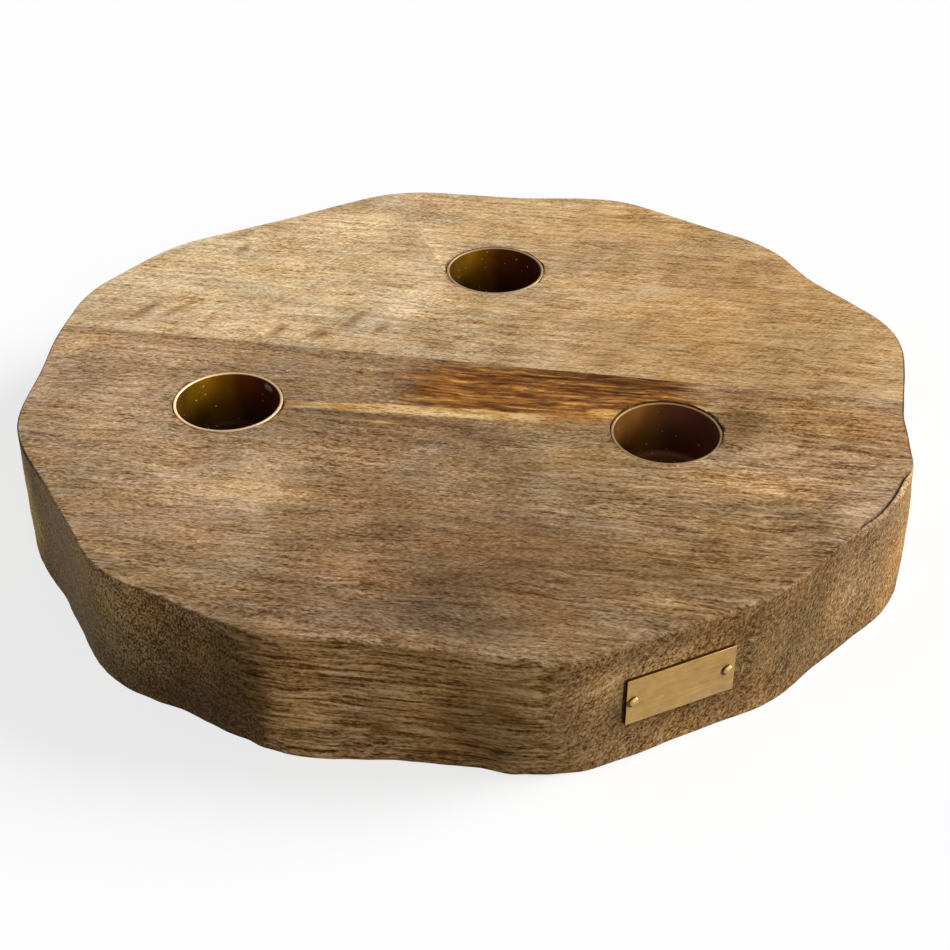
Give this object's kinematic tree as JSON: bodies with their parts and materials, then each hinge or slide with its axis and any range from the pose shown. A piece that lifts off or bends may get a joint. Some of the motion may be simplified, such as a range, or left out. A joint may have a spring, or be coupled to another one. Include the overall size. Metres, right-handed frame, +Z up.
{
  "type": "wooden candle board",
  "caption": "Round hewn board of edge-glued wooden planks with drilled sockets that hold drop-in brass cups for dinner candles, and a bare pinned brass plate on its front face.",
  "frame": {"origin": "middle of the board's bounding box, on its underside", "axes": "+X along the grain and the glue line, +Y to the back plank, +Z up out of the cups"},
  "size_m": [0.1984, 0.1914, 0.0282],
  "materials": {
    "front_wood": "oiled brown wood, open pored",
    "back_wood": "oiled pale tan wood, open pored",
    "cup_brass": "drawn brass, darkened inside",
    "plate_brass": "brushed brass sheet, bare",
    "pin_brass": "bright domed brass"
  },
  "bodies": {
    "board": {"front_plank": "front_wood", "back_plank": "back_wood", "name_plate": "plate_brass", "left_pin": "pin_brass", "right_pin": "pin_brass"},
    "cup_left": {"left_cup": "cup_brass"},
    "cup_back": {"back_cup": "cup_brass"},
    "cup_right": {"right_cup": "cup_brass"}
  },
  "joints": [
    {"name": "left_cup_lift", "type": "slide", "parent": "board", "child": "cup_left", "axis": [0, 0, 1], "range_m": [0, 0.02]},
    {"name": "back_cup_lift", "type": "slide", "parent": "board", "child": "cup_back", "axis": [0, 0, 1], "range_m": [0, 0.02]},
    {"name": "right_cup_lift", "type": "slide", "parent": "board", "child": "cup_right", "axis": [0, 0, 1], "range_m": [0, 0.02]}
  ]
}
